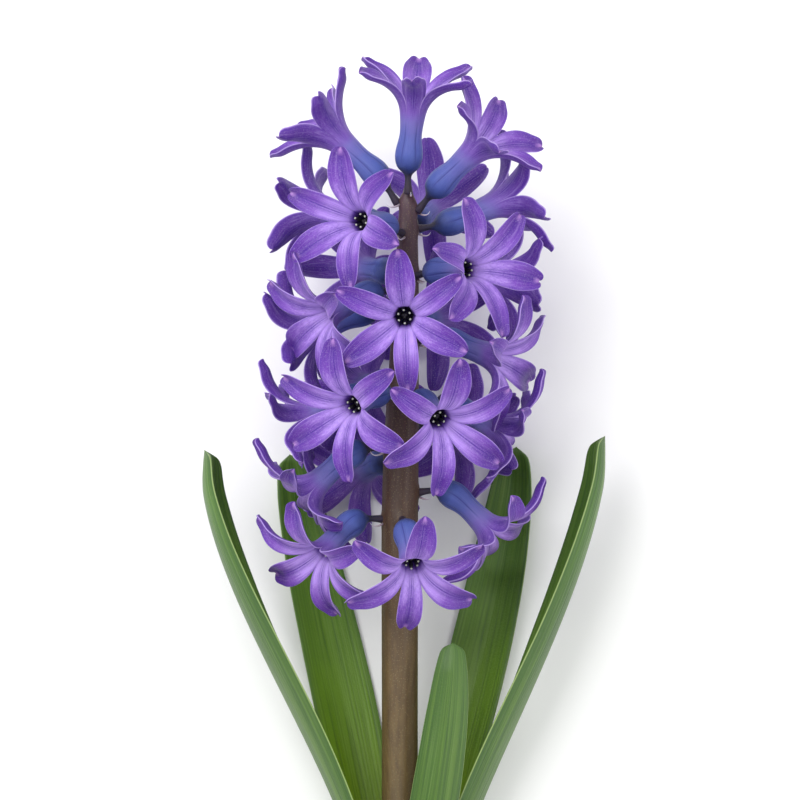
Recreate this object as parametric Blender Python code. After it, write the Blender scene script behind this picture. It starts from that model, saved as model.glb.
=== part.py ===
"""A cut hyacinth lying on a table: one flower stalk with its florets and its five leaves.

Everything is modelled in the plant's own frame, in millimetres: +Y runs up the stem from the cut end,
+Z is the flower's front and +X its right. One empty then lays the plant on its back, resting on the
leaves' bases at the cut end and on the lowest of the rear florets.
"""

import math
import random

import bmesh
import bpy
from mathutils import Matrix, Vector
from mathutils.geometry import interpolate_bezier

MM = 0.001
GAP = 0.3  # between a pedicel's foot and the stem
WELD = 0.001  # points nearer than this are one
JITTER_SEED = 7

# How the plant lies: the centre of its cut end in the world, and how steeply the stem rises from there.
LIES_AT = Vector((-1.2, -110.5, 8.6))
STEM_RISE = 9.5
PRESS = 0.8  # how softly a petal or a leaf that meets the table bends flat
CLEAR_OF_TABLE = 24.0  # what is higher than this isn't bent

STEM_LENGTH = 193.0
STEM_LEAN = 2.0  # how far the tip stands to the right of the cut end
LEAN_FROM, LEAN_OVER = 105.0, 85.0
STEM_PROFILE = ((0.0, 0.0), (0.0, 4.6), (60.0, 4.5), (120.0, 4.5), (150.0, 3.7), (180.0, 2.6), (192.0, 1.9),
                (193.0, 0.0))
STEM_SIDES = 16

# One floret, measured along its own axis from where the pedicel leaves the stem.
TUBE_PROFILE = ((0.0, 0.0), (0.0, 1.05), (3.0, 0.9), (5.2, 2.8), (8.4, 3.55), (13.5, 2.85), (18.5, 3.2))
SPLIT, MOUTH_RADIUS = TUBE_PROFILE[-1]  # where the tube splits into its lobes
TURNED = 13.0  # by here the axis has turned from the pedicel's direction to the mouth's
THROAT_FLOOR, THROAT_RADIUS = 14.5, 1.6
LOBES = 6
LOBE_LENGTH = 17.5
LOBE_ROWS = (0.0, 0.3, 0.6, 0.86, 1.0)
LOBE_WIDTHS = ((0.3, 2.9), (0.6, 3.7), (0.86, 2.7), (1.0, 0.0))
LOBE_CHANNEL = ((0.3, 0.7), (0.6, 1.1), (0.86, 1.0), (1.0, 0.0))
LOBE_RIB = ((0.0, 0.8), (0.6, 0.8), (0.86, 0.7), (1.0, 0.0))
LOBE_STEPS = 100  # along the spine of a lobe
CURL_POWER = 0.7
CURL_VARIES = 6.0
OUTER_LOBE, INNER_LOBE = 1.1, 0.92  # widths of the three outer and the three inner lobes

STAMEN_PROFILE = ((15.0, 0.0, 0.0), (15.0, 1.1, 1.1), (18.9, 2.05, 1.35), (18.0, 0.0, 0.0))

# height, then the angles round the stem and up from its cross-section, first of the pedicel and then
# of the mouth, then how far the lobes curl and how far the mouth is rolled about its axis. 0 round the
# stem is the front and 90 the right.
FLORETS = (
    (192.6, 0, 89, 20, 74, 92, 0),
    (190, -92, 58, -92, 42, 84, 10),
    (188, 69, 50, 63, 40, 90, -6),
    (182.9, 98, 8, 100, 22, 100, 2),
    (181.8, -32, 11, -31.5, 5, 112, -8),
    (183, -118, 12, -112, 12, 108, 8),
    (171, 42, 8, 40, 2, 114, -18),
    (171.5, 117, 5, 114, -7, 112, 8),
    (167.2, -57, 0, -57.5, -24, 120, 4),
    (162, 0, 2, -2, -8, 114, -5),
    (162.3, -113, 5, -110, -22, 118, -8),
    (155, 68, 4, 68, -20, 120, -14),
    (142, -32, 2, -32, -16, 126, 0),
    (140, 24, 2, 22, -22, 126, 0),
    (141.2, -103, 4, -97, -24, 122, 3),
    (139, 92, 6, 90, -28, 130, -8),
    (128, -88, 0, -86, -42, 134, 6),
    (110.3, -74, 4, -46, -38, 138, 14),
    (110, 8, -16, 8, -40, 134, 2),
    (117, 86, 10, 78, -44, 140, 10),
    (183, 168, 18, 166, 14, 110, 0),
    (171.5, -154, 8, -152, 4, 122, 30),
    (159.7, 164, 4, 163, 2, 126, 0),
    (144.2, -158, 4, -155, -6, 128, 30),
    (133, 148, 4, 146, -8, 130, 0),
    (124.8, -160, 2, -156, -12, 131, 0),
)

# name, angle round the stem, turn of the blade by its tip, how much more it folds up the blade, half
# width, and the ends and handles of its midrib
LEAVES = (
    ("leaf_front_small", 8, -12, 0, 6.0, ((0.8, 0, 7.5), (6, 25, 11), (12, 55, 14), (13, 80, 14))),
    ("leaf_right_outer", 78, 24, 18, 10.2, ((8.0, 0, 1.6), (13.8, 40, 0.6), (50, 87, -4), (52.6, 131, -8))),
    ("leaf_back_right", 150, 14, 0, 8.3, ((3.6, 0, -6.8), (11, 42, -14.4), (27, 86, -23), (30, 128, -27))),
    ("leaf_back_left", 212, -14, 0, 8.4, ((-4, 0, -6.6), (-9, 42, -15), (-22, 88, -23.5), (-28.5, 126, -27))),
    ("leaf_left_outer", 289, -31, 18, 10.2, ((-7.2, 0, 2.4), (-6, 42, 2), (-51, 88, -4), (-50.2, 127.5, -8))),
)
LEAF_ROWS = 10
LEAF_COLUMNS = 4
LEAF_STEPS = 100  # along a midrib
LEAF_CROWDING = 1.6  # above 1, the rows of a leaf are closer near its tip
LEAF_WIDTHS = ((0.0, 0.6), (0.2, 0.8), (0.45, 1.0), (0.7, 0.93), (0.88, 0.7), (0.975, 0.38), (1.0, 0.0))
LEAF_THICKNESS = 1.5
LEAF_THINS_BELOW = 3.0  # half width under which a blade gets thinner
LEAF_ARC = 42.0  # half the angle that a blade's channelled cross-section turns through at its base
LEAF_OVERLAP = 1.6  # how far one edge of a leaf's base stands outside its middle, and the other inside
OVERLAP_ENDS = 0.625  # the share of a leaf over which that overlap fades


def read(table, at):
    """The value at a place along a table of (place, value), with straight runs between its rows."""
    for (start, low), (end, high) in zip(table, table[1:]):
        if at <= end:
            return low + (high - low) * max(0.0, at - start) / (end - start)
    return table[-1][1]


def smooth(share):
    share = min(1.0, max(0.0, share))
    return share * share * (3 - 2 * share)


def towards(around, up):
    """The unit vector at an angle round the stem from the front and an angle up from its cross-section."""
    around, up = math.radians(around), math.radians(up)
    return Vector((math.sin(around) * math.cos(up), math.sin(up), math.cos(around) * math.cos(up)))


def stem_centre(height):
    return Vector((STEM_LEAN * smooth((height - LEAN_FROM) / LEAN_OVER), height, 0))


def above_table(point):
    """Bends a point of the plant that would be under the table up to it, and leaves one well above it."""
    rise = math.radians(STEM_RISE)
    height = LIES_AT.z + point.y * math.sin(rise) + point.z * math.cos(rise)
    if height > CLEAR_OF_TABLE:
        return point
    bent = PRESS * math.log1p(math.exp(height / PRESS))
    return point + Vector((0, 0, (bent - height) / math.cos(rise)))


def skin(bm, columns, rows, place):
    """Adds a grid to bm, each vertex at place(column, row)."""
    made = bmesh.ops.create_grid(bm, x_segments=columns, y_segments=rows, size=0.5)
    for vert in made["verts"]:
        column, row = round((vert.co.x + 0.5) * columns), round((vert.co.y + 0.5) * rows)
        vert.co = place(column, row)


def finish(name, bm, colours, plant):
    """Closes the skins in bm and makes them one named object of the plant."""
    bmesh.ops.remove_doubles(bm, verts=bm.verts, dist=WELD)
    bmesh.ops.holes_fill(bm, edges=bm.edges, sides=0)
    bmesh.ops.triangulate(bm, faces=[face for face in bm.faces if len(face.verts) > 4])
    bmesh.ops.recalc_face_normals(bm, faces=bm.faces)
    for vert in bm.verts:
        vert.co = above_table(vert.co) * MM
    mesh = bpy.data.meshes.new(name)
    bm.to_mesh(mesh)
    bm.free()
    mesh.materials.append(colours)
    mesh.shade_smooth()
    made = bpy.data.objects.new(name, mesh)
    bpy.context.scene.collection.objects.link(made)
    made.parent = plant


def material(name, colour, roughness):
    made = bpy.data.materials.new(name)
    made.use_nodes = True
    shader = made.node_tree.nodes["Principled BSDF"]
    shader.inputs["Base Color"].default_value = (*colour, 1)
    shader.inputs["Roughness"].default_value = roughness
    return made


def stem(colours, plant):
    def place(column, row):
        height, radius = STEM_PROFILE[row]
        return stem_centre(height) + radius * towards(360 * column / STEM_SIDES, 0)

    bm = bmesh.new()
    skin(bm, STEM_SIDES, len(STEM_PROFILE) - 1, place)
    finish("stem", bm, colours, plant)


class FloretAxis:
    """The curved axis of one floret: straight off the stem, then turning to the way its mouth faces."""

    STEPS = 40

    def __init__(self, height, pedicel, mouth):
        self.start, self.mouth = towards(*pedicel), towards(*mouth)
        radial = towards(pedicel[0], 0)
        stem_radius = read(STEM_PROFILE[1:], height) if height < STEM_LENGTH else 0
        clear = GAP + TUBE_PROFILE[1][1] * math.sin(self.start.angle(radial)) if stem_radius else 0
        self.turn = self.start.angle(self.mouth)
        self.pivot = self.start.cross(self.mouth).normalized()
        self.points = [stem_centre(height) + (stem_radius + clear) * radial]
        for step in range(self.STEPS):
            middle = SPLIT * (step + 0.5) / self.STEPS
            self.points.append(self.points[-1] + self.heading(middle) * SPLIT / self.STEPS)
        up = Vector((0, 1, 0)) if abs(self.mouth.y) < 0.9 else Vector((0, 0, -1))
        self.up = (up - up.dot(self.mouth) * self.mouth).normalized()

    def turned(self, vector, along):
        return Matrix.Rotation(self.turn * smooth(along / TURNED), 3, self.pivot) @ vector

    def heading(self, along):
        return self.turned(self.start, along)

    def at(self, along):
        place = min(along / SPLIT * self.STEPS, self.STEPS)
        low = min(int(place), self.STEPS - 1)
        point = self.points[low].lerp(self.points[low + 1], place - low)
        return point + self.mouth * max(0.0, along - SPLIT)

    def across(self, along, angle):
        """The unit vector across the axis at an angle from its upper side, counted towards its right."""
        side = self.up.cross(self.mouth)
        spread = math.cos(angle) * self.up + math.sin(angle) * side
        unturned = Matrix.Rotation(-self.turn, 3, self.pivot) @ spread
        return self.turned(unturned, along)


def lobe(bm, axis, angle, width, curl):
    """One lobe of the mouth: four-sided in section, its edges raised, curling back as it goes."""
    out = axis.across(SPLIT, angle)
    side = axis.mouth.cross(out)
    half = math.pi / LOBES
    point = axis.at(SPLIT) + MOUTH_RADIUS * out
    rib = [(point, out)]
    for step in range(LOBE_STEPS):
        bend = math.radians(curl) * ((step + 0.5) / LOBE_STEPS) ** CURL_POWER
        point = point + (math.cos(bend) * axis.mouth + math.sin(bend) * out) * LOBE_LENGTH / LOBE_STEPS
        rib.append((point, math.cos(bend) * out - math.sin(bend) * axis.mouth))

    def place(corner, row):
        share = LOBE_ROWS[row]
        middle, back = rib[round(share * LOBE_STEPS)]
        if corner == 1:
            return middle
        if corner == 3:
            return middle - read(LOBE_RIB, share) * back
        reach, raised = MOUTH_RADIUS * math.sin(half), MOUTH_RADIUS * (1 - math.cos(half))
        if row:
            reach, raised = width * read(LOBE_WIDTHS, share), read(LOBE_CHANNEL, share)
        return middle - raised * back + (reach if corner == 2 else -reach) * side

    skin(bm, 4, len(LOBE_ROWS) - 1, place)


def perianth(name, axis, curl, roll, chance, colours, plant):
    """The pedicel, tube, throat and six lobes of one floret, as one closed solid."""
    half = math.pi / LOBES

    def tube(column, row):
        along, radius = TUBE_PROFILE[row]
        return axis.at(along) + radius * axis.across(along, roll + half * (column - 1))

    def throat(column, row):
        along = THROAT_FLOOR if row else SPLIT
        inner = MOUTH_RADIUS - (LOBE_RIB[0][1] if column % 2 else 0)
        radius = (inner, THROAT_RADIUS, 0)[row]
        return axis.at(along) + radius * axis.across(along, roll + half * (column - 1))

    bm = bmesh.new()
    skin(bm, 2 * LOBES, len(TUBE_PROFILE) - 1, tube)
    skin(bm, 2 * LOBES, 2, throat)
    for number in range(LOBES):
        width = INNER_LOBE if number % 2 else OUTER_LOBE
        lobe(bm, axis, roll + 2 * half * number, width, curl + chance.uniform(-CURL_VARIES, CURL_VARIES))
    finish(name, bm, colours, plant)


def stamens(name, axis, roll, colours, plant):
    """The six anthers and the stigma inside a throat, as one plain solid."""
    half = math.pi / LOBES

    def place(column, row):
        along, anther, between = STAMEN_PROFILE[row]
        radius = anther if column % 2 else between
        return axis.at(along) + radius * axis.across(along, roll + half * (column - 1))

    bm = bmesh.new()
    skin(bm, 2 * LOBES, len(STAMEN_PROFILE) - 1, place)
    finish(name, bm, colours, plant)


def leaf(name, around, turn, fold, width, midrib, colours, plant):
    """One blade, channelled towards the stem, with sharp margins and a pointed tip."""
    line = interpolate_bezier(*(Vector(point) for point in midrib), LEAF_STEPS + 1)
    columns = 2 * LEAF_COLUMNS

    def place(column, row):
        share = 1 - (1 - row / LEAF_ROWS) ** LEAF_CROWDING
        spot = round(LEAF_STEPS * share)
        along = line[min(LEAF_STEPS, spot + 1)] - line[max(0, spot - 1)] if row else Vector((0, 1, 0))
        along.normalize()
        back = towards(around + turn * share, 0)
        back = (back - back.dot(along) * along).normalized()
        inside = column > LEAF_COLUMNS
        across = (columns - column if inside else column) / LEAF_COLUMNS * 2 - 1
        reach = width * read(LEAF_WIDTHS, share)
        arc = math.radians(LEAF_ARC + fold * smooth(share))
        bow = reach / math.sin(arc)
        point = line[spot] + along.cross(back) * bow * math.sin(arc * across)
        inward = bow * (1 - math.cos(arc * across))
        if inside:
            inward += LEAF_THICKNESS * (1 - across ** 2) * min(1.0, reach / LEAF_THINS_BELOW)
        shift = LEAF_OVERLAP * across * max(0.0, 1 - share / OVERLAP_ENDS)
        return point + (shift - inward) * back

    bm = bmesh.new()
    skin(bm, columns, LEAF_ROWS, place)
    finish(name, bm, colours, plant)


def main():
    for old in list(bpy.data.objects):
        bpy.data.objects.remove(old)
    plant = bpy.data.objects.new("plant", None)
    bpy.context.scene.collection.objects.link(plant)
    plant.location = LIES_AT * MM
    plant.rotation_euler = (math.radians(STEM_RISE), 0, 0)

    stem(material("stem_skin", (0.13, 0.08, 0.06), 0.5), plant)
    blade = material("leaf_blade", (0.10, 0.24, 0.03), 0.4)
    for name, *shape in LEAVES:
        leaf(name, *shape, blade, plant)
    petal = material("petal", (0.26, 0.12, 0.55), 0.5)
    anther = material("anther", (0.02, 0.015, 0.03), 0.6)
    chance = random.Random(JITTER_SEED)
    for number, (height, start, climb, mouth, tilt, curl, roll) in enumerate(FLORETS, 1):
        axis = FloretAxis(height, (start, climb), (mouth, tilt))
        perianth(f"floret_{number:02d}", axis, curl, math.radians(roll), chance, petal, plant)
        stamens(f"stamens_{number:02d}", axis, math.radians(roll), anther, plant)


main()
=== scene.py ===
# %% [markdown]
# # A cut hyacinth
# A hyacinth is a spike of small six-lobed flowers, called florets, on one thick stalk, with a few
# strap-shaped leaves round its foot. This one has been cut and laid on its back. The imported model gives
# its solids, and this lesson builds what the eye sees: petals with veins and raised edges, fleshy
# leaves, anthers, bracts and a stalk that swells at its nodes. The solids are too plain to be finished
# with modifiers, so each of them is replaced by a piece made anew on the same measures. Lengths are in
# millimetres in the plant's own frame, where +Y runs up the stalk, +Z is the front and +X the right,
# and they become metres at the very end.

# %% Load the fixed frame
import math
import random

import bmesh
import bpy
from mathutils import Matrix, Vector
from mathutils.geometry import interpolate_bezier


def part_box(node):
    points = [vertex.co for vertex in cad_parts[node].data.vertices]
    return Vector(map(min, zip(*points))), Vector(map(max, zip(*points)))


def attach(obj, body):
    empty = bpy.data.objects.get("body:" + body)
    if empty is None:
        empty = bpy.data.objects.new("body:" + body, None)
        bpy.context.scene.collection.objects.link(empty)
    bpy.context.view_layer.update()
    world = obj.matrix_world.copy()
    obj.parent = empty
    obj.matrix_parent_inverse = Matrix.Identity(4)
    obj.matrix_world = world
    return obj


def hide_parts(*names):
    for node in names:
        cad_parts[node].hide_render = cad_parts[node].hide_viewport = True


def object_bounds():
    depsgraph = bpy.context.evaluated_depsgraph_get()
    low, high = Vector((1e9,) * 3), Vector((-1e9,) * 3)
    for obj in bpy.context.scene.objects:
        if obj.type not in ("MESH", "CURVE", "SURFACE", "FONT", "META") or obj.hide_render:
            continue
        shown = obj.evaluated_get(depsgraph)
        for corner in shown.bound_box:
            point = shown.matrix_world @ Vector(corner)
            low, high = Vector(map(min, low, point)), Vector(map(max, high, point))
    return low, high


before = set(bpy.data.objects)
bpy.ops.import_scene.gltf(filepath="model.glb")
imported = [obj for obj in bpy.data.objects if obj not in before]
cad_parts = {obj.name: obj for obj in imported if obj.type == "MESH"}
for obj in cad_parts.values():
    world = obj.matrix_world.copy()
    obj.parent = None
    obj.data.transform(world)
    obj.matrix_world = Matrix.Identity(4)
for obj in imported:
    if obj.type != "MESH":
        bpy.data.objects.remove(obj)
cad_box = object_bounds()
MM = 0.001
print("solids:", len(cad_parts))

# %% [markdown]
# ## How the plant lies
# The lowest rear florets lie on the table and the rear leaves all but touch it, so the stalk rises a
# little towards its tip. One matrix holds that pose: every piece is shaped upright in the plant's frame
# and then laid down by it, because an upright plant is far easier to measure than a tilted one.
# A petal that would go through the table is bent flat against it instead. A hard limit would crease it,
# so the height is eased into the table along a smooth curve, as a soft petal is.

# %% The pose and the table
LIES_AT = Vector((-1.2, -110.5, 8.6))
STEM_RISE = math.radians(9.5)
PRESS = 0.8  # over how much height a petal eases into the table
CLEAR_OF_TABLE = 24.0  # from this height up nothing is bent
LAID = Matrix.Translation(LIES_AT) @ Matrix.Rotation(STEM_RISE, 4, "X")


def above_table(point):
    """Bends a point of the plant that would be under the table up to it."""
    height = (LAID @ point).z
    bent = PRESS * math.log1p(math.exp(height / PRESS)) if height < CLEAR_OF_TABLE else height
    return point + Vector((0, 0, (bent - height) / math.cos(STEM_RISE)))


stem_low, stem_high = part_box("stem")
print("the stalk's box, mm:", [round(v / MM, 1) for v in stem_high - stem_low])

# %% [markdown]
# ## Reading a profile
# A tube, a petal or a leaf is a few widths along a length. Straight runs between them would show a
# corner at every one, and a long table of widths would be hard to change. So a few widths are kept, and
# a smooth curve through them gives a living outline.

# %% Curves through a table
def flow(table, at):
    """The value at a place along a table of (place, value), on a smooth curve through its rows."""
    rows = [table[0], *table, table[-1]]
    for before, low, high, after in zip(rows, rows[1:], rows[2:], rows[3:]):
        if at <= high[0]:
            break
    span = max(1e-9, high[0] - low[0])
    share = min(1.0, max(0.0, (at - low[0]) / span))
    start = (high[1] - before[1]) / max(1e-9, high[0] - before[0]) * span
    end = (after[1] - low[1]) / max(1e-9, after[0] - low[0]) * span
    square, cube = share * share, share ** 3
    return ((2 * cube - 3 * square + 1) * low[1] + (cube - 2 * square + share) * start
            + (3 * square - 2 * cube) * high[1] + (cube - square) * end)


def smooth(share):
    share = min(1.0, max(0.0, share))
    return share * share * (3 - 2 * share)


def towards(around, up):
    """The unit vector at an angle round the stalk from the front, and up from its cross-section."""
    around, up = math.radians(around), math.radians(up)
    return Vector((math.sin(around) * math.cos(up), math.sin(up), math.cos(around) * math.cos(up)))


print("halfway from 1 to 3 on a smooth curve:", flow(((0, 1), (1, 3)), 0.5))


# %% [markdown]
# ## A skin
# Most living surfaces here are a sheet that is rolled, cupped or closed round on itself. So each one
# starts as a flat grid, and a rule moves every vertex of the grid to its place. Pulling 156 lobes into
# shape by hand would take days, and one rule bends them all. Where two edges of the sheet meet, their
# doubles are merged and the seam is gone.
# Each vertex also keeps four numbers for the materials: how far it is from its petal's midrib, how far
# along the floret, which side it is on, and its petal's own tone, since no two are quite one colour.

# %% Making a skin and a piece
MARKS = ("edge", "along", "inside", "tone")
WELD = 1e-4  # vertices closer than this are one


def skin(bm, columns, rows, place):
    """Adds a grid to bm. place(column, row) gives each vertex its point and its marks."""
    layers = [bm.verts.layers.float.get(name) or bm.verts.layers.float.new(name) for name in MARKS]
    for vert in bmesh.ops.create_grid(bm, x_segments=columns, y_segments=rows, size=0.5)["verts"]:
        point, *marks = place(round((vert.co.x + 0.5) * columns), round((vert.co.y + 0.5) * rows))
        vert.co = point
        for layer, mark in zip(layers, marks):
            vert[layer] = mark


def finished(name, bm, surface, slot, *nodes, levels=0):
    """Lays a bmesh down with the plant and makes it one named piece, standing for some of the solids."""
    bmesh.ops.remove_doubles(bm, verts=bm.verts, dist=WELD)
    bmesh.ops.holes_fill(bm, edges=bm.edges, sides=0)
    bmesh.ops.recalc_face_normals(bm, faces=bm.faces)
    for vert in bm.verts:
        vert.co = LAID @ above_table(vert.co) * MM
    mesh = bpy.data.meshes.new(name)
    bm.to_mesh(mesh)
    bm.free()
    mesh.shade_smooth()
    mesh.materials.append(surface)
    piece = bpy.data.objects.new(name, mesh)
    bpy.context.scene.collection.objects.link(piece)
    if levels:
        subdivision = piece.modifiers.new("subdivision", "SUBSURF")
        subdivision.levels = subdivision.render_levels = levels
    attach(piece, "root")
    if nodes:
        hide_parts(*nodes)
    return piece


print("marks on every vertex:", ", ".join(MARKS))


# %% [markdown]
# ## Nodes and colours
# A material is a small graph of nodes. One function adds a node, sets it and links it, and another
# turns the sRGB colours that a painter would pick into the linear ones that a shader works in. A few
# more small ones stand for the steps that every finish here repeats.

# %% Colour and node helpers
def rgb(hexadecimal):
    """An sRGB colour such as '#8d62c4' as linear red, green, blue and alpha."""
    channels = [int(hexadecimal[at:at + 2], 16) / 255 for at in (1, 3, 5)]
    return (*(c / 12.92 if c <= 0.04045 else ((c + 0.055) / 1.055) ** 2.4 for c in channels), 1.0)


def add(tree, kind, inputs=(), stops=(), **settings):
    """Adds a node. inputs gives a value or another node's output for each socket, stops a ramp's colours."""
    made = tree.nodes.new("ShaderNode" + kind)
    for name, value in settings.items():
        setattr(made, name, value)
    for socket, value in dict(inputs).items():
        if isinstance(value, bpy.types.NodeSocket):
            tree.links.new(value, made.inputs[socket])
        else:
            made.inputs[socket].default_value = value
    for number, (place, colour) in enumerate(stops):
        element = made.color_ramp.elements[number] if number < 2 else made.color_ramp.elements.new(place)
        element.position, element.color = place, rgb(colour)
    return made


def material(name, **sockets):
    """A new material: its node tree and its shader, with the shader's own sockets set."""
    made = bpy.data.materials.new(name)
    made.use_nodes = True
    shader = made.node_tree.nodes["Principled BSDF"]
    for socket, value in sockets.items():
        shader.inputs[socket.replace("_", " ")].default_value = value
    return made, made.node_tree, shader


print("mid grey in linear light:", round(rgb("#808080")[0], 3))

# %% [markdown]
# ## Fibres
# Petals and leaves are both streaked along their length. The streaks are one noise, squeezed across the
# blade and stretched along it. Read from space, it would run straight through a bent petal, so it is
# read from the marks, and bends with it.

# %% A streak texture and the marks
def read_marks(tree):
    return [add(tree, "Attribute", attribute_name=mark).outputs["Fac"] for mark in MARKS]


def streaks(tree, across, along, own, many, per_mm):
    """A noise with so many streaks over the width, and so many breaks in each millimetre of length."""
    wide = add(tree, "Math", {0: across, 1: many}, operation="MULTIPLY").outputs[0]
    long = add(tree, "Math", {0: along, 1: per_mm}, operation="MULTIPLY").outputs[0]
    deep = add(tree, "Math", {0: own, 1: 9.0}, operation="MULTIPLY").outputs[0]
    place = add(tree, "CombineXYZ", {0: wide, 1: long, 2: deep}).outputs[0]
    return add(tree, "TexNoise", {"Vector": place, "Scale": 1.0, "Detail": 3.0}).outputs["Fac"]


def between(tree, value, low, high, at_low, at_high, smoothly=False):
    """Maps a value between two bounds to another two, and holds it there beyond them."""
    kind = "SMOOTHSTEP" if smoothly else "LINEAR"
    return add(tree, "MapRange", {"Value": value, "From Min": low, "From Max": high, "To Min": at_low,
                                  "To Max": at_high}, interpolation_type=kind).outputs[0]


def times(tree, one, other):
    return add(tree, "Math", {0: one, 1: other}, operation="MULTIPLY").outputs[0]


def tinted(tree, colour, share, tint):
    """A colour with some share of a tint mixed in."""
    return add(tree, "Mix", {0: share, 6: colour, 7: rgb(tint)}, data_type="RGBA").outputs[2]


# %% [markdown]
# ## The tepal
# A hyacinth's petals are tepals: waxy, juicy and a little see-through, so light goes in and comes out
# softened. Their skin is made of tiny domed cells that sparkle. The colour changes along the floret,
# from a purple-brown pedicel through a blue bulb to lilac lobes. It could be painted on each petal, but
# a ramp read from the marks colours all of them at once, and a little noise moves its bands about.

# %% Tepal colours along the floret
CELL = 0.00032  # the sparkling cells, in metres, drawn several times their real size so that they show
FLORET_REACH = 36.0  # the marks along a floret run from 0 to this many millimetres
VEINS = 13.0  # over half the width of a lobe
VEIN_BREAKS = 0.14  # in each millimetre of its length


def tepal_ground(tree, share, place, inside, tone):
    """The colour along the outside and the inside of a floret, with a share of each petal's own tone."""
    mottle = add(tree, "TexNoise", {"Vector": place, "Scale": 220.0, "Detail": 3.0}).outputs["Fac"]
    drift = between(tree, mottle, 0.2, 0.8, -0.05, 0.05)
    moved = add(tree, "Math", {0: share, 1: drift}, operation="ADD").outputs[0]
    outer = add(tree, "ValToRGB", {"Fac": moved}, stops=(
        (0.0, "#33262a"), (0.98, "#4d2486"), (0.10, "#28252e"), (0.15, "#303f78"), (0.24, "#4c5ca4"),
        (0.36, "#5a63ab"), (0.48, "#7068b0"), (0.58, "#7a58b2"), (0.80, "#623a9a"))).outputs[0]
    # The inner ramp starts near black deep in the throat. That is painted shade inside the tube, and it runs
    # into the lilac of the lobes.
    inner = add(tree, "ValToRGB", {"Fac": moved}, stops=(
        (0.42, "#150a2a"), (0.99, "#4a207e"), (0.47, "#2a1650"), (0.51, "#6a48a6"), (0.56, "#ba9ce6"),
        (0.68, "#ab88dc"), (0.80, "#784bb0"), (0.90, "#592d93"))).outputs[0]
    colour = add(tree, "Mix", {0: inside, 6: outer, 7: inner}, data_type="RGBA").outputs[2]
    return tinted(tree, colour, times(tree, tone, 0.35), "#6c3bac")


print("a sparkling cell, mm:", CELL / MM, " a floret's marks end at, mm:", FLORET_REACH)

# %% [markdown]
# ## Veins, midrib and margin
# A lobe has a dark midrib with a softer band of painted shade beside it, pale and dark veins, painted
# shade on its flanks and a painted highlight along its thin margin, and its tip carries a rosy callus.
# The tube is streaked with a darker blue, and dark along the seams between its tepals. Each of these is
# a tint laid over the last, as in glazing.

# %% Tepal markings
def lobe_marks(tree, colour, edge, along, inside, fibres, lobes):
    """The markings of the lobes over their colour, with painted shade on the flanks and a painted highlight
    on the margins, and the midrib's band, which is also sunk in.
    """
    colour = tinted(tree, colour, times(tree, between(tree, fibres, 0.52, 0.75, 0.0, 0.26), lobes), "#c8b0ee")
    colour = tinted(tree, colour, times(tree, between(tree, fibres, 0.5, 0.28, 0.0, 0.5), lobes), "#4a2890")
    # The thin dark midrib line is the lobe's own colour. The darker bands beside it are painted shade along
    # the sunk midrib.
    band = add(tree, "ValToRGB", {"Fac": edge}, stops=(
        (0.0, "#ffffff"), (0.62, "#000000"), (0.03, "#dcdcdc"), (0.06, "#8c8c8c"), (0.11, "#a0a0a0"),
        (0.19, "#c4c4c4"), (0.32, "#707070"), (0.45, "#202020"))).outputs[0]
    band = times(tree, band, lobes)
    colour = tinted(tree, colour, band, "#43218a")
    # Painted shade on the flanks of each lobe, growing towards its margins.
    flank = times(tree, between(tree, edge, 0.62, 0.9, 0.0, 0.5, True), lobes)
    colour = tinted(tree, colour, flank, "#56309a")
    # A painted highlight: a thin pale line along the rounded margin of each lobe.
    rim = times(tree, between(tree, edge, 0.93, 0.99, 0.0, 0.7), lobes)
    colour = tinted(tree, colour, rim, "#c4aaea")
    callus = between(tree, along, 33.8, 35.0, 0.0, 0.55)
    callus = times(tree, callus, between(tree, edge, 0.15, 0.4, 1.0, 0.0))
    return tinted(tree, colour, times(tree, callus, inside), "#c795dc"), band


def tube_marks(tree, colour, edge, share, fibres, tube):
    """The streaks of the tube and the seams between its tepals, over its colour."""
    colour = tinted(tree, colour, times(tree, between(tree, fibres, 0.45, 0.7, 0.0, 0.35), tube), "#333c84")
    seams = times(tree, between(tree, edge, 0.8, 1.0, 0.0, 0.6, True), tube)
    seams = times(tree, seams, between(tree, share, 0.17, 0.25, 0.0, 1.0))
    return tinted(tree, colour, seams, "#2f347c")


# %% [markdown]
# ## The waxy skin
# The skin's own finish is one shader. Its IOR is that of wet plant tissue, some light goes under the
# surface, and a trace of sheen stands for the velvet of the cells. The relief of the veins, the midrib
# and the cells is too fine for a mesh, so a bump gives it.

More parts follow.
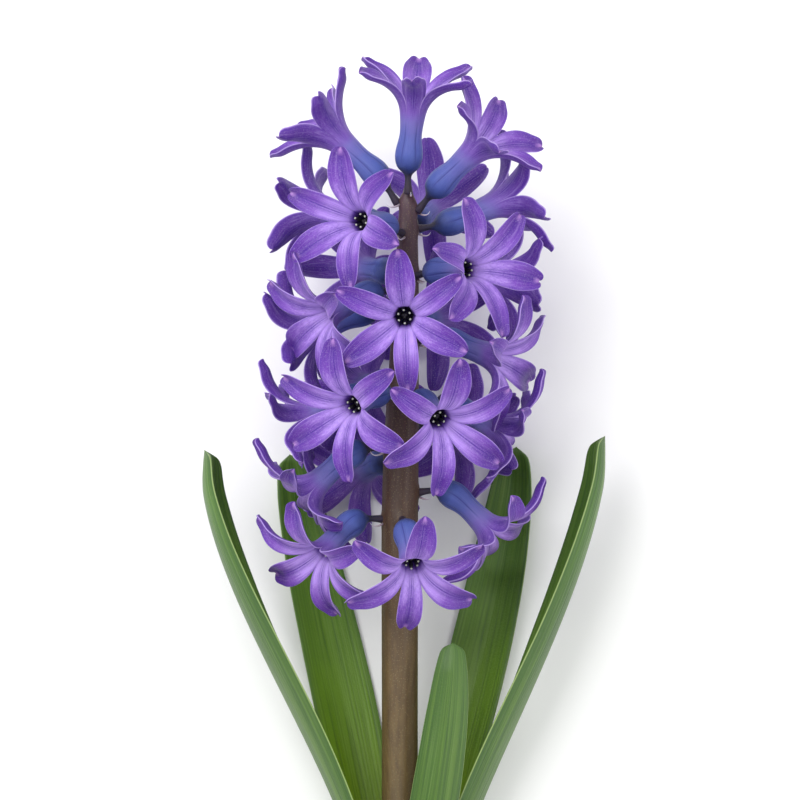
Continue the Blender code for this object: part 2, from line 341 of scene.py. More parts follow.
# %% Tepal material
def tepal_material():
    made, tree, shader = material("waxy_tepal_cells", Roughness=0.5, IOR=1.38, Subsurface_Weight=0.12,
                                  Subsurface_Scale=0.0008, Sheen_Weight=0.05, Sheen_Roughness=0.4)
    shader.inputs["Subsurface Radius"].default_value = (0.7, 0.35, 1.0)
    edge, along, inside, tone = read_marks(tree)
    place = add(tree, "TexCoord").outputs["Object"]
    share = add(tree, "Math", {0: along, 1: FLORET_REACH}, operation="DIVIDE").outputs[0]
    lobes = between(tree, share, 0.5, 0.64, 0.0, 1.0)
    tube = between(tree, share, 0.5, 0.4, 0.0, 1.0)
    fibres = streaks(tree, edge, along, tone, VEINS, VEIN_BREAKS)
    colour = tepal_ground(tree, share, place, inside, tone)
    colour, band = lobe_marks(tree, colour, edge, along, inside, fibres, lobes)
    colour = tube_marks(tree, colour, edge, share, fibres, tube)
    # Painted glints: tiny pale highlights dotted over the lobes, for the sparkle of their cells.
    sparkle = add(tree, "TexNoise", {"Vector": place, "Scale": 3600.0, "Detail": 1.0}).outputs["Fac"]
    painted_glint = times(tree, between(tree, sparkle, 0.55, 0.8, 0.0, 0.18), lobes)
    colour = tinted(tree, colour, painted_glint, "#e2d6f8")
    tree.links.new(colour, shader.inputs["Base Color"])

    cells = add(tree, "TexVoronoi", {"Vector": place, "Scale": 1 / CELL}).outputs["Distance"]
    relief = add(tree, "Math", {0: fibres, 1: 1.2, 2: cells}, operation="MULTIPLY_ADD").outputs[0]
    relief = add(tree, "Math", {0: band, 1: -1.2, 2: relief}, operation="MULTIPLY_ADD").outputs[0]
    bump = add(tree, "Bump", {"Height": relief, "Strength": 0.45, "Distance": 0.00012})
    tree.links.new(bump.outputs[0], shader.inputs["Normal"])
    return made


tepal = tepal_material()
print("tepal material:", len(tepal.node_tree.nodes), "nodes")

# %% [markdown]
# ## The course of a floret
# A floret leaves the stalk on a thin pedicel and turns as it swells into a bulb, narrows to a neck and
# opens into its mouth. A freely drawn curve could follow it, but would have to be drawn 26 times. Here
# its axis is a planar bend: a heading that turns smoothly from the pedicel's way to the mouth's, so two
# directions are enough. Everything on the floret is placed round that axis.

# %% Floret measures and their places on the stalk
GAP = 0.3  # from the stalk to the end of a pedicel, in the solids
STEM_LENGTH = 193.0
STEM_LEAN, LEAN_FROM, LEAN_OVER = 2.0, 105.0, 85.0  # the stalk leans a little, higher up
STEM_PROFILE = ((0.0, 4.6), (60.0, 4.5), (120.0, 4.5), (150.0, 3.7), (180.0, 2.6), (192.0, 1.9))
TUBE_PROFILE = ((0.0, 1.05), (1.2, 0.85), (3.6, 0.95), (5.2, 2.7), (8.4, 3.55), (13.5, 2.85), (18.5, 3.2))
SPLIT, MOUTH_RADIUS = TUBE_PROFILE[-1]
TURNED = 13.0  # along the floret, where it has turned all the way

# height, then the angles round the stalk and up from its cross-section, first of the pedicel and then
# of the mouth, then how far the lobes curl and how far the mouth is rolled about its axis.
FLORETS = (
    (192.6, 0, 89, 20, 74, 92, 0),
    (190, -92, 58, -92, 42, 84, 10),
    (188, 69, 50, 63, 40, 90, -6),
    (182.9, 98, 8, 100, 22, 100, 2),
    (181.8, -32, 11, -31.5, 5, 112, -8),
    (183, -118, 12, -112, 12, 108, 8),
    (171, 42, 8, 40, 2, 114, -18),
    (171.5, 117, 5, 114, -7, 112, 8),
    (167.2, -57, 0, -57.5, -24, 120, 4),
    (162, 0, 2, -2, -8, 114, -5),
    (162.3, -113, 5, -110, -22, 118, -8),
    (155, 68, 4, 68, -20, 120, -14),
    (142, -32, 2, -32, -16, 126, 0),
    (140, 24, 2, 22, -22, 126, 0),
    (141.2, -103, 4, -97, -24, 122, 3),
    (139, 92, 6, 90, -28, 130, -8),
    (128, -88, 0, -86, -42, 134, 6),
    (110.3, -74, 4, -46, -38, 138, 14),
    (110, 8, -16, 8, -40, 134, 2),
    (117, 86, 10, 78, -44, 140, 10),
    (183, 168, 18, 166, 14, 110, 0),
    (171.5, -154, 8, -152, 4, 122, 30),
    (159.7, 164, 4, 163, 2, 126, 0),
    (144.2, -158, 4, -155, -6, 128, 30),
    (133, 148, 4, 146, -8, 130, 0),
    (124.8, -160, 2, -156, -12, 131, 0),
)


print("florets to make:", len(FLORETS), " from height", min(f[0] for f in FLORETS), "to", FLORETS[0][0])


# %% The axis of a floret
def stem_centre(height):
    return Vector((STEM_LEAN * smooth((height - LEAN_FROM) / LEAN_OVER), height, 0))


class FloretAxis:
    """The curved axis of one floret: straight off the stalk, then turning to the way its mouth faces."""

    STEPS = 40

    def __init__(self, height, pedicel, mouth):
        self.start, self.mouth = towards(*pedicel), towards(*mouth)
        radial = towards(pedicel[0], 0)
        clear = GAP + TUBE_PROFILE[0][1] * math.sin(self.start.angle(radial))
        reach = flow(STEM_PROFILE, height) + clear
        self.turn = self.start.angle(self.mouth)
        self.pivot = self.start.cross(self.mouth).normalized()
        self.points = [stem_centre(height) + reach * radial]
        for step in range(self.STEPS):
            middle = SPLIT * (step + 0.5) / self.STEPS
            self.points.append(self.points[-1] + self.heading(middle) * SPLIT / self.STEPS)
        up = Vector((0, 1, 0)) if abs(self.mouth.y) < 0.9 else Vector((0, 0, -1))
        self.up = (up - up.dot(self.mouth) * self.mouth).normalized()

    def turned(self, vector, along):
        return Matrix.Rotation(self.turn * smooth(along / TURNED), 3, self.pivot) @ vector

    def heading(self, along):
        return self.turned(self.start, along)

    def at(self, along):
        place = min(along / SPLIT * self.STEPS, self.STEPS)
        low = max(0, min(int(place), self.STEPS - 1))
        point = self.points[low].lerp(self.points[low + 1], max(0.0, place - low))
        return point + self.mouth * max(0.0, along - SPLIT) + self.start * min(0.0, along)

    def across(self, along, angle):
        """The unit vector across the axis at an angle from its upper side, counted towards its right."""
        side = self.up.cross(self.mouth)
        spread = math.cos(angle) * self.up + math.sin(angle) * side
        return self.turned(Matrix.Rotation(-self.turn, 3, self.pivot) @ spread, along)


top = FloretAxis(FLORETS[0][0], FLORETS[0][1:3], FLORETS[0][3:5])
print("the top floret turns by", round(math.degrees(top.turn)), "degrees")

# %% [markdown]
# ## The lobe
# A lobe leaves the tube's rim, spreads, and curls back over its own spine. Across, it is a shallow
# channel with raised, rounded edges, a groove down the inner midrib and a keel behind it, and its tip is
# a small blunt hood. A flat leaf shape with a Solidify modifier would have one thickness and square
# edges, so both faces are one grid that closes on itself round the edges.

# %% Shape of a lobe
LOBES = 6
HALF = math.pi / LOBES  # half the angle that a lobe takes up at the mouth
LOBE_LENGTH = 17.5
CURL_POWER = 0.7  # under 1, the curl is strongest near the mouth
OUTER_LOBE, INNER_LOBE = 1.1, 0.92  # every second lobe is an outer one, and wider
LOBE_WIDTHS = ((0.0, 1.6), (0.15, 2.2), (0.3, 2.85), (0.48, 3.35), (0.62, 3.4), (0.76, 3.05), (0.88, 2.3),
               (0.95, 1.5), (1.0, 0.0))
LOBE_CHANNEL = ((0.0, 0.43), (0.25, 0.9), (0.5, 1.6), (0.75, 2.1), (0.9, 1.9), (0.97, 1.3), (1.0, 0.0))
LOBE_RIB = ((0.0, 0.8), (0.4, 0.85), (0.86, 0.85), (0.96, 0.75), (1.0, 0.0))
LOBE_ROWS, ROWS_CROWD = 16, 1.35  # the rows are closer towards the tip
LOBE_COLUMNS = 10  # across one face of a lobe
BEND_STEPS = 100
KEEL, KEEL_WIDTH = 0.3, 0.22
HOOD, HOOD_FROM, HOOD_OVER = 1.6, 0.8, 0.2
TUCK = 0.35  # how far the three inner lobes lie over the outer ones
WAVES_ALONG, WAVES_ACROSS = 8, 3


def spread(column):
    """Where a column of a lobe lies between its edges, -1 to 1, with the columns closer at the edges."""
    share = 2 * column / LOBE_COLUMNS - 1
    return share * (1.5 - 0.5 * share * share)


print("a lobe, mm:", LOBE_LENGTH, "long,", 2 * max(width for _, width in LOBE_WIDTHS), "wide")


# %% Where the lobes start, and their spines
def mouth_ring(axis, roll):
    """The six directions in which the lobes leave the mouth."""
    return [axis.across(SPLIT, roll + 2 * HALF * number) for number in range(LOBES)]


def rim_point(axis, out, across, inside):
    """A point of the rim where a lobe starts, on the outer or the inner side of its wall."""
    wall = LOBE_RIB[0][1] * math.sqrt(max(0.0, 1 - across ** 4)) if inside else 0
    side = out.cross(axis.mouth)
    angle = HALF * across
    outward = MOUTH_RADIUS * math.cos(angle) - wall
    return axis.at(SPLIT) + MOUTH_RADIUS * math.sin(angle) * side + outward * out


def lobe_spine(axis, out, curl):
    """Points down the back of a lobe, and the way its back faces at each."""
    point = axis.at(SPLIT) + MOUTH_RADIUS * out
    spine = [(point, out)]
    for step in range(BEND_STEPS):
        bend = curl * ((step + 0.5) / BEND_STEPS) ** CURL_POWER
        point = point + (math.cos(bend) * axis.mouth + math.sin(bend) * out) * LOBE_LENGTH / BEND_STEPS
        bend = curl * ((step + 1) / BEND_STEPS) ** CURL_POWER
        spine.append((point, math.cos(bend) * out - math.sin(bend) * axis.mouth))
    return spine


tip = lobe_spine(top, mouth_ring(top, 0)[0], math.radians(FLORETS[0][5]))[-1][0]
print("from the mouth's middle to a lobe's tip, mm:", round((tip - top.at(SPLIT)).length, 1))


# %% One lobe
def lobe(bm, axis, out, width, curl, habit):
    """One lobe, both faces of it. habit is its own small twist, sideways sway, edge wave and tone."""
    spine = lobe_spine(axis, out, curl)
    side = out.cross(axis.mouth)
    twist, sway, wave, tone = habit

    def place(column, row):
        share = 1 - (1 - row / LOBE_ROWS) ** ROWS_CROWD
        inside = column > LOBE_COLUMNS
        across = spread(2 * LOBE_COLUMNS - column if inside else column)
        if row == 0:
            return rim_point(axis, out, across, inside), abs(across), SPLIT, 1.0 if inside else 0.0, 0.0
        middle, back = spine[round(share * BEND_STEPS)]
        grown = smooth(share * 1.5)
        reach = flow(LOBE_WIDTHS, share) * (1 + (width - 1) * grown)
        raised = max(0.0, flow(LOBE_CHANNEL, share))
        lateral = reach * math.sin(HALF * across) / math.sin(HALF)
        inward = raised * (1 - math.cos(HALF * across)) / (1 - math.cos(HALF))
        inward += wave * grown * math.sin(WAVES_ALONG * share + WAVES_ACROSS * across) * across * across
        inward += TUCK * grown * (1 - share) if width < 1 else 0
        inward -= KEEL * math.exp(-(across / KEEL_WIDTH) ** 2) * grown * (1.1 - share)
        if inside:
            inward += max(0.0, flow(LOBE_RIB, share)) * math.sqrt(max(0.0, 1 - across ** 4))
        inward += HOOD * smooth((share - HOOD_FROM) / HOOD_OVER) ** 1.5
        turn = Matrix.Rotation(twist * grown * share, 3, back.cross(side))
        spoke = turn @ (lateral * side - inward * back)
        point = middle + spoke + sway * share * share * side
        return point, abs(across), SPLIT + share * LOBE_LENGTH, 1.0 if inside else 0.0, tone * grown

    skin(bm, 2 * LOBE_COLUMNS, LOBE_ROWS, place)


trial = bmesh.new()
lobe(trial, top, mouth_ring(top, 0)[0], OUTER_LOBE, math.radians(FLORETS[0][5]), (0, 0, 0, 0))
print("faces of one lobe before subdivision:", len(trial.faces))
trial.free()

# %% [markdown]
# ## The perianth
# The tube, the throat and the six lobes grew as one, so they are made as one closed skin: separate
# pieces would show a seam at every mouth. Seen from outside, six shallow furrows run down the tube
# between the tepals that form it, and the shoulder where the pedicel meets the bulb is round and full.
# Inside, the wall narrows to a small floor.

# %% One whole floret
TUBE_ROWS = 28
ROOTED = 1.4  # how far the pedicel reaches back into the stalk
THROAT_ROWS = 5
THROAT_FLOOR, THROAT_RADIUS = 14.5, 1.6
FURROW, FURROW_WIDTH = 0.16, 0.2


def perianth(name, node, axis, curls, roll, habits):
    """The pedicel, tube, throat and six lobes of one floret, as one closed piece."""
    ring = mouth_ring(axis, roll)
    columns = LOBES * LOBE_COLUMNS

    def sector(column):
        number, part = divmod(column % columns, LOBE_COLUMNS)
        return number, spread(part)

    def tube(column, row):
        number, across = sector(column)
        if row == 0:
            return axis.at(-ROOTED), 1.0, 0.0, 0.0, 0.0
        along = (SPLIT + ROOTED) * (row - 1) / (TUBE_ROWS - 1) - ROOTED
        if row == TUBE_ROWS:
            return rim_point(axis, ring[number], across, False), abs(across), SPLIT, 0.0, 0.0
        furrow = FURROW * math.exp(-((1 - abs(across)) / FURROW_WIDTH) ** 2) * smooth((along - 5) / 6)
        furrow *= smooth((SPLIT - along) / 2)
        radius = flow(TUBE_PROFILE, along) - furrow
        angle = roll + HALF * (2 * number + across)
        return axis.at(along) + radius * axis.across(along, angle), abs(across), along, 0.0, 0.0

    def throat(column, row):
        number, across = sector(column)
        if row == 0:
            return rim_point(axis, ring[number], across, True), abs(across), SPLIT, 1.0, 0.0
        depth = min(1.0, row / (THROAT_ROWS - 1))
        along = SPLIT - (SPLIT - THROAT_FLOOR) * depth
        rim = (rim_point(axis, ring[number], across, True) - axis.at(SPLIT)).length
        radius = rim + (THROAT_RADIUS - rim) * depth ** 0.8 if row < THROAT_ROWS else 0
        angle = roll + HALF * (2 * number + across)
        return axis.at(along) + radius * axis.across(along, angle), abs(across), along, 1.0, 0.0

    bm = bmesh.new()
    skin(bm, columns, TUBE_ROWS, tube)
    skin(bm, columns, THROAT_ROWS, throat)
    for number, (out, curl, habit) in enumerate(zip(ring, curls, habits)):
        lobe(bm, axis, out, INNER_LOBE if number % 2 else OUTER_LOBE, curl, habit)
    return finished(name, bm, tepal, "petal", node, levels=1)


# %% [markdown]
# ## Stamens and pistil
# At the mouth of the throat six dark anthers stand in a ring round a small three-lobed stigma. Each has
# begun to shed, so a pale clump of pollen sits on its top. All of these are blunt little beans, under 3
# mm long, so a ball drawn out along three axes is shape enough for each. Their finish is a powder: dark
# and matt, with grains that a cell pattern draws.

# %% Anther material
def anther_material():
    made, tree, shader = material("anther_and_pollen", Roughness=0.55)
    pale = add(tree, "Attribute", attribute_name="inside").outputs["Fac"]
    place = add(tree, "TexCoord").outputs["Object"]
    grains = add(tree, "TexVoronoi", {"Vector": place, "Scale": 4000.0}).outputs["Distance"]
    dark = add(tree, "ValToRGB", {"Fac": grains}, stops=((0.0, "#2c2638"), (0.6, "#08060d"))).outputs[0]
    colour = add(tree, "Mix", {0: pale, 6: dark, 7: rgb("#b9c0a6")}, data_type="RGBA").outputs[2]
    tree.links.new(colour, shader.inputs["Base Color"])
    bump = add(tree, "Bump", {"Height": grains, "Strength": 0.6, "Distance": 0.0001})
    tree.links.new(bump.outputs[0], shader.inputs["Normal"])
    return made


pollen = anther_material()
print("anther material:", len(pollen.node_tree.nodes), "nodes")

# %% Anthers
ANTHER_AT, ANTHER_RING = 18.0, 1.45
ANTHER_HALF = (0.52, 0.42, 1.2)
ANTHER_LEAN, STAGGER = 0.25, 0.3  # they lean outwards, and every second one stands higher
POLLEN_AT, POLLEN_RING, POLLEN_HALF = 19.15, 1.624, (0.3, 0.26, 0.22)
STIGMA_AT, STIGMA_RING, STIGMA_HALF = 17.2, 0.35, (0.6, 0.6, 0.6)
BEAD_SIDES, BEAD_RINGS = 10, 7


def bead(bm, centre, axes, half, pale):
    """Adds a ball drawn out to three half lengths along three axes. pale is 1 for pollen, 0 for the rest."""
    mark = bm.verts.layers.float.get("inside") or bm.verts.layers.float.new("inside")
    ball = bmesh.ops.create_uvsphere(bm, u_segments=BEAD_SIDES, v_segments=BEAD_RINGS, radius=1.0)
    for vert in ball["verts"]:
        parts = (part * length * way for part, length, way in zip(vert.co, half, axes))
        vert.co = centre + sum(parts, Vector())
        vert[mark] = pale


def stamens(name, node, axis, roll):
    """Six anthers with their pollen, and the stigma, of one floret."""
    bm = bmesh.new()
    for number in range(LOBES):
        out = axis.across(SPLIT, roll + 2 * HALF * number)
        axes = (out.cross(axis.mouth), (out - ANTHER_LEAN * axis.mouth).normalized(),
                (axis.mouth + ANTHER_LEAN * out).normalized())
        level = STAGGER * (number % 2)
        bead(bm, axis.at(ANTHER_AT + level) + ANTHER_RING * out, axes, ANTHER_HALF, 0.0)
        bead(bm, axis.at(POLLEN_AT + level) + POLLEN_RING * out, axes, POLLEN_HALF, 1.0)
        if number % 2:
            bead(bm, axis.at(STIGMA_AT) + STIGMA_RING * out, axes, STIGMA_HALF, 0.0)
    return finished(name, bm, pollen, "stamen", node)


# %% [markdown]
# ## All the florets
# No two lobes curl alike. Copies of one floret would look stamped, so each is made on its own. The
# curls come from the same seeded draws as the solids', so the petals stay where the solids are, and a
# second set of draws adds each lobe's own twist, sway and wavy edge.

# %% Make every floret
CURL_SEED, CURL_VARIES = 7, 6.0  # degrees
HABIT_SEED = 11
TWIST_VARIES, SWAY_VARIES, WAVE_VARIES = 16.0, 0.9, 0.3  # degrees, then millimetres

curl_chance = random.Random(CURL_SEED)
habit_chance = random.Random(HABIT_SEED)
farthest = 0.0
for number, (height, start, climb, mouth, tilt, curl, turn) in enumerate(FLORETS, 1):
    axis = FloretAxis(height, (start, climb), (mouth, tilt))
    curls = [math.radians(curl + curl_chance.uniform(-CURL_VARIES, CURL_VARIES)) for _ in range(LOBES)]
    habits = [(math.radians(habit_chance.uniform(-TWIST_VARIES, TWIST_VARIES)),
               habit_chance.uniform(-SWAY_VARIES, SWAY_VARIES),
               habit_chance.uniform(-WAVE_VARIES, WAVE_VARIES), habit_chance.random()) for _ in range(LOBES)]
    roll = math.radians(turn)
    piece = perianth(f"tepals_{number:02d}", f"floret_{number:02d}", axis, curls, roll, habits)
    stamens(f"anthers_{number:02d}", f"stamens_{number:02d}", axis, roll)
    low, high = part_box(f"floret_{number:02d}")
    corners = [piece.matrix_world @ vert.co for vert in piece.data.vertices]
    for side in range(3):
        places = [corner[side] for corner in corners]
        farthest = max(farthest, low[side] - min(places), max(places) - high[side])
print("florets:", len(FLORETS), "farthest outside a solid's box, mm:", round(farthest / MM, 2))

# %% [markdown]
# ## The stalk
# The stalk is a juicy, slightly ribbed column. Its skin is olive brown low down and purple brown at the
# top, under a thin bloom, and it is freckled with tiny pale pores. A cylinder would look turned on a
# lathe, so its grid adds low ribs, a lean, and a small swelling under each pedicel.

# %% Stalk material
def stalk_material():
    made, tree, shader = material("flower_stalk_skin", Roughness=0.46, IOR=1.4, Coat_Weight=0.08,
                                  Coat_Roughness=0.4, Subsurface_Weight=0.08, Subsurface_Scale=0.001)
    along = add(tree, "Attribute", attribute_name="along").outputs["Fac"]
    place = add(tree, "TexCoord").outputs["Object"]
    share = add(tree, "Math", {0: along, 1: STEM_LENGTH}, operation="DIVIDE").outputs[0]
    stretched = add(tree, "Mapping", {"Vector": place, "Scale": (1.0, 0.12, 1.0)}).outputs[0]
    lines = add(tree, "TexNoise", {"Vector": stretched, "Scale": 900.0, "Detail": 4.0}).outputs["Fac"]
    colour = add(tree, "ValToRGB", {"Fac": share}, stops=(
        (0.0, "#75703f"), (1.0, "#553c46"), (0.15, "#6b5a37"), (0.45, "#5e4a30"), (0.62, "#50392e"),
        (0.8, "#4b3237"))).outputs[0]
    colour = tinted(tree, colour, between(tree, lines, 0.35, 0.7, 0.0, 0.45), "#33241f")
    pores = add(tree, "TexVoronoi", {"Vector": place, "Scale": 1900.0}).outputs["Distance"]
    colour = tinted(tree, colour, between(tree, pores, 0.12, 0.3, 0.5, 0.0), "#83744f")
    tree.links.new(colour, shader.inputs["Base Color"])
    relief = add(tree, "Math", {0: lines, 1: pores}, operation="ADD").outputs[0]
    bump = add(tree, "Bump", {"Height": relief, "Strength": 0.3, "Distance": 0.00015})
    tree.links.new(bump.outputs[0], shader.inputs["Normal"])
    return made


# %% Stalk
STEM_COLUMNS, STEM_ROWS = 48, 180
STEM_RIBS, STEM_RIB = 7, 0.05
NODE_SWELL, NODE_SPAN = 0.55, 2.2
NARROWS, NARROWS_FROM, NARROWS_OVER = 0.45, 189.0, 4.0  # the share lost at the tip, and where


def stalk():
    """The flower stalk, from its plain cut to its tip."""
    def place(column, row):
        inner = row in (0, STEM_ROWS)
        share = min(STEM_ROWS - 2, max(0, row - 1)) / (STEM_ROWS - 2)
        height = share * STEM_LENGTH
        around = 360 * column / STEM_COLUMNS
        radius = flow(STEM_PROFILE, height) + STEM_RIB * math.sin(math.radians(STEM_RIBS * around))
        for level, angle, *_ in FLORETS:
            near = math.radians((around - angle + 180) % 360 - 180) * radius
            radius += NODE_SWELL * math.exp(-2 * (math.hypot(near, height - level) / NODE_SPAN) ** 2)
        radius *= 1 - smooth((height - NARROWS_FROM) / NARROWS_OVER) * NARROWS
        point = stem_centre(height) + (0 if inner else radius) * towards(around, 0)
        return point, 0.0, height, 0.0, 0.5

    bm = bmesh.new()
    skin(bm, STEM_COLUMNS, STEM_ROWS, place)
    return finished("flower_stalk", bm, stalk_material(), "stalk", "stem")


print("stalk:", len(stalk().data.vertices), "vertices")

# %% [markdown]
# ## Bracts
# Under each pedicel hangs what is left of its bract: a tiny pale thread with a hooked end. A bevelled
# curve could make it, but a skin round a short smooth line tapers it to a point as well.

# %% Bracts
BRACT_LENGTH, BRACT_RADIUS, BRACT_TAPER = 4.2, 0.32, 0.75
BRACT_SIDES, BRACT_STEPS = 8, 9


def bract_material():
    made, tree, shader = material("dried_bract_thread", Roughness=0.55, Subsurface_Weight=0.2,
                                  Subsurface_Scale=0.0008)
    along = add(tree, "Attribute", attribute_name="along").outputs["Fac"]
    share = add(tree, "Math", {0: along, 1: BRACT_LENGTH}, operation="DIVIDE").outputs[0]
    colour = add(tree, "ValToRGB", {"Fac": share}, stops=((0.0, "#8f7a86"), (1.0, "#e8dfe8"))).outputs[0]
    tree.links.new(colour, shader.inputs["Base Color"])
    return made


def bracts():
    """The small bracts of all the florets, as one group of threads."""
    bm = bmesh.new()
    for level, angle, *_ in FLORETS:
        out, side = towards(angle, 0), towards(angle + 90, 0)
        reach = flow(STEM_PROFILE, level) - 0.1
        foot = stem_centre(level) + reach * out + Vector((0, -1.1, 0)) + 0.7 * side
        line = interpolate_bezier(foot, foot + 1.6 * out - Vector((0, 0.9, 0)),
                                  foot + 3.0 * out - Vector((0, 1.2, 0)),
                                  foot + 3.6 * out + Vector((0, 0.4, 0)), BRACT_STEPS)

        def place(column, row, line=line, side=side):
            share = max(0, row - 1) / (BRACT_STEPS - 2)
            radius = BRACT_RADIUS * (1 - BRACT_TAPER * share) if 0 < row < BRACT_STEPS else 0
            turn = 2 * math.pi * column / BRACT_SIDES
            ahead = (line[min(BRACT_STEPS - 1, row + 1)] - line[max(0, row - 1)]).normalized()
            rim = math.cos(turn) * side + math.sin(turn) * side.cross(ahead)
            return line[max(0, row - 1)] + radius * rim, 0.0, share * BRACT_LENGTH, 0.0, 0.5

        skin(bm, BRACT_SIDES, BRACT_STEPS, place)
    return finished("bracts", bm, bract_material(), "petal")


print("bracts:", len(bracts().data.vertices), "vertices")

# %% [markdown]
# ## Leaves
# A hyacinth leaf is a thick strap, folded into a channel that faces the stalk, with a blunt hooded tip
# and a thin pale margin. Its veins run side by side from foot to tip. The outer leaves show their backs,
# which are greyer, and the inner faces are a brighter green that turns yellow towards the foot. The
# cuticle is a thin clear wax over soft tissue, so the finish is a faint coat over a little light that
# goes under the surface, with streaks broad and fine.

# %% Leaf material
LEAF_MARK = 130.0  # the height at which the colours along a leaf end
BROAD_VEINS, FINE_VEINS = 7.0, 34.0  # over half the width


def leaf_material():
    made, tree, shader = material("hyacinth_leaf_cuticle", Roughness=0.42, IOR=1.4, Coat_Weight=0.08,
                                  Coat_Roughness=0.35, Subsurface_Weight=0.1, Subsurface_Scale=0.001)
    shader.inputs["Subsurface Radius"].default_value = (0.4, 1.0, 0.15)
    edge, along, inside, across = read_marks(tree)
    place = add(tree, "TexCoord").outputs["Object"]
    share = add(tree, "Math", {0: along, 1: LEAF_MARK}, operation="DIVIDE").outputs[0]
    outer = add(tree, "ValToRGB", {"Fac": share}, stops=(
        (0.0, "#66762d"), (1.0, "#3d5f20"), (0.25, "#41621f"), (0.6, "#3e6024"), (0.9, "#456c22"))).outputs[0]
    inner = add(tree, "ValToRGB", {"Fac": share}, stops=(
        (0.0, "#a3aa50"), (1.0, "#426418"), (0.2, "#7c9a10"), (0.45, "#628614"),
        (0.75, "#50761c"))).outputs[0]
    colour = add(tree, "Mix", {0: inside, 6: outer, 7: inner}, data_type="RGBA").outputs[2]
    broad = add(tree, "TexNoise", {"Vector": place, "Scale": 45.0, "Detail": 3.0}).outputs["Fac"]
    colour = tinted(tree, colour, between(tree, broad, 0.4, 0.7, 0.0, 0.3), "#31521f")
    wide = streaks(tree, across, along, inside, BROAD_VEINS, 0.012)
    colour = tinted(tree, colour, between(tree, wide, 0.45, 0.7, 0.0, 0.35), "#72923a")
    fine = streaks(tree, across, along, inside, FINE_VEINS, 0.03)
    colour = tinted(tree, colour, between(tree, fine, 0.5, 0.3, 0.0, 0.5), "#2c4a20")
    colour = tinted(tree, colour, between(tree, fine, 0.52, 0.72, 0.0, 0.2), "#8aa85c")
    flank = between(tree, edge, 0.75, 0.95, 0.0, 0.45, True)
    colour = tinted(tree, colour, flank, "#35552a")
    colour = tinted(tree, colour, between(tree, edge, 0.975, 0.998, 0.0, 0.65), "#a9bd78")
    tree.links.new(colour, shader.inputs["Base Color"])
    grain = add(tree, "TexNoise", {"Vector": place, "Scale": 1800.0, "Detail": 2.0}).outputs["Fac"]
    relief = add(tree, "Math", {0: fine, 1: 2.5, 2: grain}, operation="MULTIPLY_ADD").outputs[0]
    bump = add(tree, "Bump", {"Height": relief, "Strength": 0.4, "Distance": 0.00018})
    tree.links.new(bump.outputs[0], shader.inputs["Normal"])
    return made


blade = leaf_material()
print("leaf material:", len(blade.node_tree.nodes), "nodes")

# %% [markdown]
# ## Shaping the leaves
# Each midrib is one smooth curve from the foot to the tip. Across it the blade is an arc, thick at the
# midrib and thin at its margins, and near the foot one margin tucks inside the next leaf's. A strip
# bent by a Curve modifier would keep one section all the way, so the grid is laid along the curve.

# %% Leaf measures
# name, angle round the stalk, turn of the blade by its tip, how much more it folds up the blade, half
# width, and the ends and handles of its midrib
LEAVES = (
    ("leaf_front_small", 8, -12, 0, 6.0, ((0.8, 0, 7.5), (6, 25, 11), (12, 55, 14), (13, 80, 14))),
    ("leaf_right_outer", 78, 24, 18, 10.2, ((8.0, 0, 1.6), (13.8, 40, 0.6), (50, 87, -4), (52.6, 131, -8))),
    ("leaf_back_right", 150, 14, 0, 8.3, ((3.6, 0, -6.8), (11, 42, -14.4), (27, 86, -23), (30, 128, -27))),
    ("leaf_back_left", 212, -14, 0, 8.4, ((-4, 0, -6.6), (-9, 42, -15), (-22, 88, -23.5), (-28.5, 126, -27))),
    ("leaf_left_outer", 289, -31, 18, 10.2, ((-7.2, 0, 2.4), (-6, 42, 2), (-51, 88, -4), (-50.2, 127.5, -8))),
)
LEAF_ROWS, LEAF_CROWDING = 56, 1.6  # the rows are closer towards the tip
LEAF_COLUMNS = 18
LEAF_WIDTHS = ((0.0, 0.6), (0.2, 0.8), (0.45, 1.0), (0.7, 0.93), (0.86, 0.76), (0.94, 0.6), (0.98, 0.42),
               (1.0, 0.0))
LEAF_THICKNESS, LEAF_THINS_BELOW = 1.5, 3.0  # it thins where the blade is narrower than this
LEAF_ARC = 42.0
LEAF_OVERLAP, OVERLAP_FADES = 1.6, 1.6
LEAF_KEEL, LEAF_KEEL_WIDTH = 0.3, 0.12
LEAF_HOOD, LEAF_HOOD_FROM, LEAF_HOOD_OVER = 1.0, 0.9, 0.1
LEAF_STEPS = 400
print("leaves to make:", len(LEAVES))


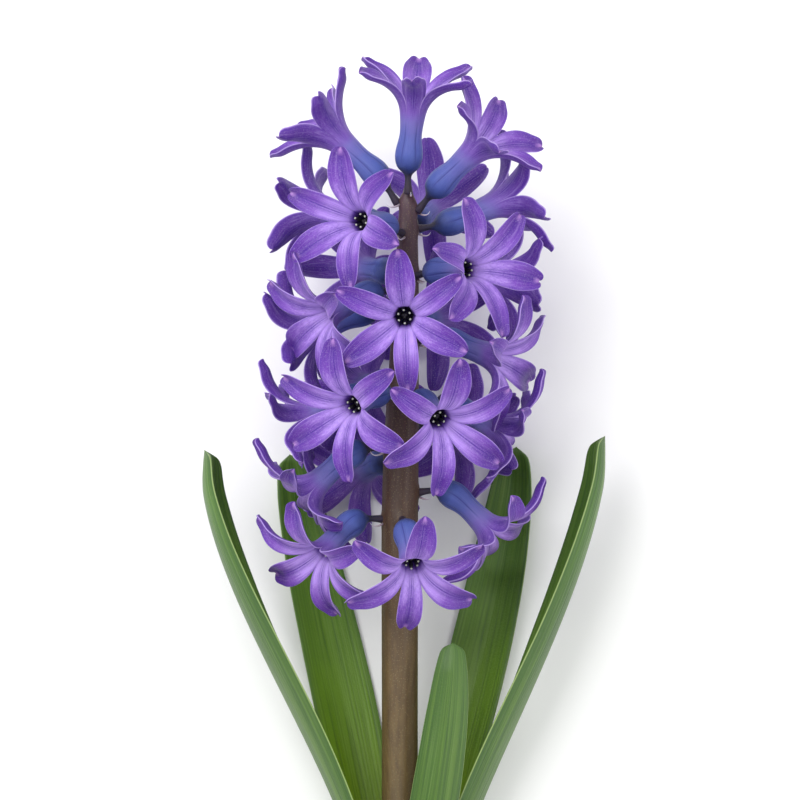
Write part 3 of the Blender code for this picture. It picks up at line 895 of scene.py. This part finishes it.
# %% Leaves
def leaf(name, around, turn, fold, width, midrib, surface):
    """One blade, channelled towards the stalk, with thin margins and a blunt hooded tip."""
    line = interpolate_bezier(*(Vector(point) for point in midrib), LEAF_STEPS + 1)
    columns = 2 * LEAF_COLUMNS

    def place(column, row):
        share = 1 - (1 - row / LEAF_ROWS) ** LEAF_CROWDING
        spot = round(LEAF_STEPS * share)
        ahead = line[min(LEAF_STEPS, spot + 1)] - line[max(0, spot - 1)] if row else Vector((0, 1, 0))
        ahead.normalize()
        back = towards(around + turn * share, 0)
        back = (back - back.dot(ahead) * ahead).normalized()
        inside = column > LEAF_COLUMNS
        part = (columns - column if inside else column) / LEAF_COLUMNS * 2 - 1
        across = part * (1.5 - 0.5 * part * part)
        tip = smooth((share - LEAF_HOOD_FROM) / LEAF_HOOD_OVER)
        reach = width * flow(LEAF_WIDTHS, share) if row < LEAF_ROWS else 0
        arc = math.radians(LEAF_ARC + fold * smooth(share))
        bow = reach / math.sin(arc)
        inward = bow * (1 - math.cos(arc * across)) + LEAF_HOOD * tip
        inward -= LEAF_KEEL * math.exp(-(across / LEAF_KEEL_WIDTH) ** 2) * (1 - tip)
        if inside:
            thin = min(1.0, reach / LEAF_THINS_BELOW)
            inward += LEAF_THICKNESS * math.sqrt(max(0.0, 1 - across ** 4)) * thin
        shift = LEAF_OVERLAP * across * max(0.0, 1 - OVERLAP_FADES * share)
        point = line[spot] + ahead.cross(back) * bow * math.sin(arc * across) + (shift - inward) * back
        return point, abs(across), line[spot].y, 1.0 if inside else 0.0, 0.5 + 0.5 * across

    bm = bmesh.new()
    skin(bm, columns, LEAF_ROWS, place)
    return finished(name + "_blade", bm, surface, "leaf", name, levels=1)


for name, *shape in LEAVES:
    print(name, "vertices:", len(leaf(name, *shape, blade).data.vertices))

# %% [markdown]
# ## Floor, light and camera
# The flower lies on a plain pale floor under large soft lights, a stronger one from the upper left and
# a weaker one from the right. The camera looks straight at the flower's front through a long lens, so
# the lying flower reads as a plain portrait of it.

# %% Floor
FLOOR_SIZE = 4.0  # metres, wide enough to end outside every view


def floor():
    made, tree, shader = material("pale_matt_floor", Roughness=0.7)
    shader.inputs["Base Color"].default_value = rgb("#f4f4f4")
    bm = bmesh.new()
    bmesh.ops.create_grid(bm, x_segments=1, y_segments=1, size=FLOOR_SIZE)
    mesh = bpy.data.meshes.new("floor")
    bm.to_mesh(mesh)
    bm.free()
    mesh.materials.append(made)
    ground = bpy.data.objects.new("floor", mesh)
    ground.location.z = cad_box[0][2]
    bpy.context.scene.collection.objects.link(ground)


floor()
print("floor at height, mm:", round(cad_box[0][2] / MM, 2))

# %% Light
AIM = Vector((0, 140, 0))


def softbox(name, place, size, power):
    """A square area light that faces the middle of the flower. place is in the plant's frame, in mm."""
    light = bpy.data.lights.new(name, "AREA")
    light.size, light.energy = size, power
    lamp = bpy.data.objects.new(name, light)
    bpy.context.scene.collection.objects.link(lamp)
    spot, aim = LAID @ Vector(place) * MM, LAID @ AIM * MM
    lamp.location = spot
    lamp.rotation_euler = (aim - spot).to_track_quat("-Z", "Y").to_euler()
    print(name, "light, W:", power)


softbox("key", (-420, 560, 700), 0.7, 6.8)
softbox("fill", (600, 0, 600), 0.8, 2.6)
world = bpy.data.worlds.new("studio")
world.use_nodes = True
world.node_tree.nodes["Background"].inputs["Color"].default_value = (1, 1, 1, 1)
world.node_tree.nodes["Background"].inputs["Strength"].default_value = 0.82
bpy.context.scene.world = world
bpy.context.scene.view_settings.view_transform = "Standard"

# %% Camera
CAMERA_AWAY, FIELD, SENSOR = 1200.0, 200.0, 36.0


def camera():
    lens = bpy.data.cameras.new("camera")
    lens.sensor_width = SENSOR
    lens.lens = SENSOR * CAMERA_AWAY / FIELD
    lens.clip_start = 0.01
    eye = bpy.data.objects.new("camera", lens)
    bpy.context.scene.collection.objects.link(eye)
    eye.location = LAID @ (AIM + Vector((0, 0, CAMERA_AWAY))) * MM
    eye.rotation_euler = (STEM_RISE, 0, 0)
    bpy.context.scene.camera = eye
    print("lens, mm:", lens.lens)


camera()

# %% [markdown]
# ## Sizes and the end
# The box of the solids is printed, in millimetres.

# %% Print the solids' box and finish
print("solids, mm:", [[round(v / MM, 1) for v in corner] for corner in cad_box])
